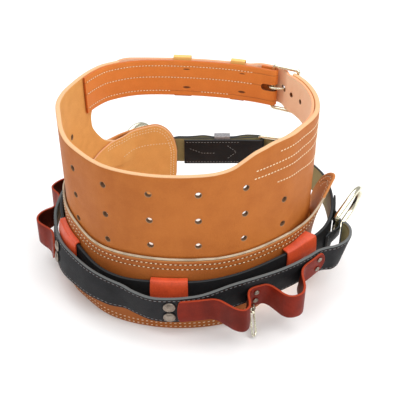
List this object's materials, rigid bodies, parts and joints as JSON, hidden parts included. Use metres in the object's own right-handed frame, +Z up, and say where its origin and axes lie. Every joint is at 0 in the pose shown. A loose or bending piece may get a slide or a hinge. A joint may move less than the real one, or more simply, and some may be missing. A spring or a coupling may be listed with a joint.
{
  "type": "lineman belt",
  "caption": "Lineman's body belt: a tall punched leather back pad in a padded cushion, with black load and tool straps, two D-rings, tool loops and two fastened buckles",
  "frame": {"origin": "on the floor, below the middle of the whole belt as it stands", "axes": "+Z up; -Y the wearer's back, where the pad and the tool strap are; +Y the buckles at the front; +X the side of the tool loops with the snap"},
  "size_m": [0.4858, 0.4184, 0.2722],
  "materials": {
    "tan_leather": "smooth harness leather",
    "orange_leather": "smooth strap leather",
    "pink_leather": "natural, flesh side in",
    "black_leather": "black strap, olive inner face",
    "red_leather": "orange-red, waxed",
    "latigo_leather": "dark red-brown, oiled",
    "grey_welt": "grey-cream binding",
    "nickel": "pale nickel plate",
    "antique_metal": "antique, dark"
  },
  "bodies": {
    "root": {"back_pad": "tan_leather", "buckle_strap": "orange_leather", "cushion": "tan_leather", "cushion_keeper_1": "red_leather", "cushion_keeper_2": "red_leather", "cushion_keeper_3": "red_leather", "cushion_keeper_4": "red_leather", "cushion_lining": "tan_leather", "cushion_welt": "grey_welt", "d_ring_chape_left": "black_leather", "d_ring_chape_right": "black_leather", "d_ring_left": "nickel", "d_ring_right": "nickel", "dome_rivet_1": "antique_metal", "dome_rivet_2": "antique_metal", "dome_rivet_3": "antique_metal", "dome_rivet_4": "antique_metal", "front_keeper": "grey_welt", "load_strap": "black_leather", "ring_rivet_1": "antique_metal", "ring_rivet_2": "antique_metal", "ring_rivet_3": "antique_metal", "ring_rivet_4": "antique_metal", "ring_rivet_5": "antique_metal", "ring_rivet_6": "antique_metal", "ring_rivet_7": "antique_metal", "ring_rivet_8": "antique_metal", "roller_buckle_frame": "nickel", "roller_buckle_prong": "nickel", "snap_hook": "nickel", "snap_ring": "antique_metal", "strap_keeper_1": "tan_leather", "strap_keeper_2": "tan_leather", "tongue": "pink_leather", "tool_loops_left": "latigo_leather", "tool_loops_right": "latigo_leather", "tool_strap": "black_leather", "waist_buckle_frame": "nickel", "waist_buckle_prong": "nickel"}
  },
  "joints": []
}
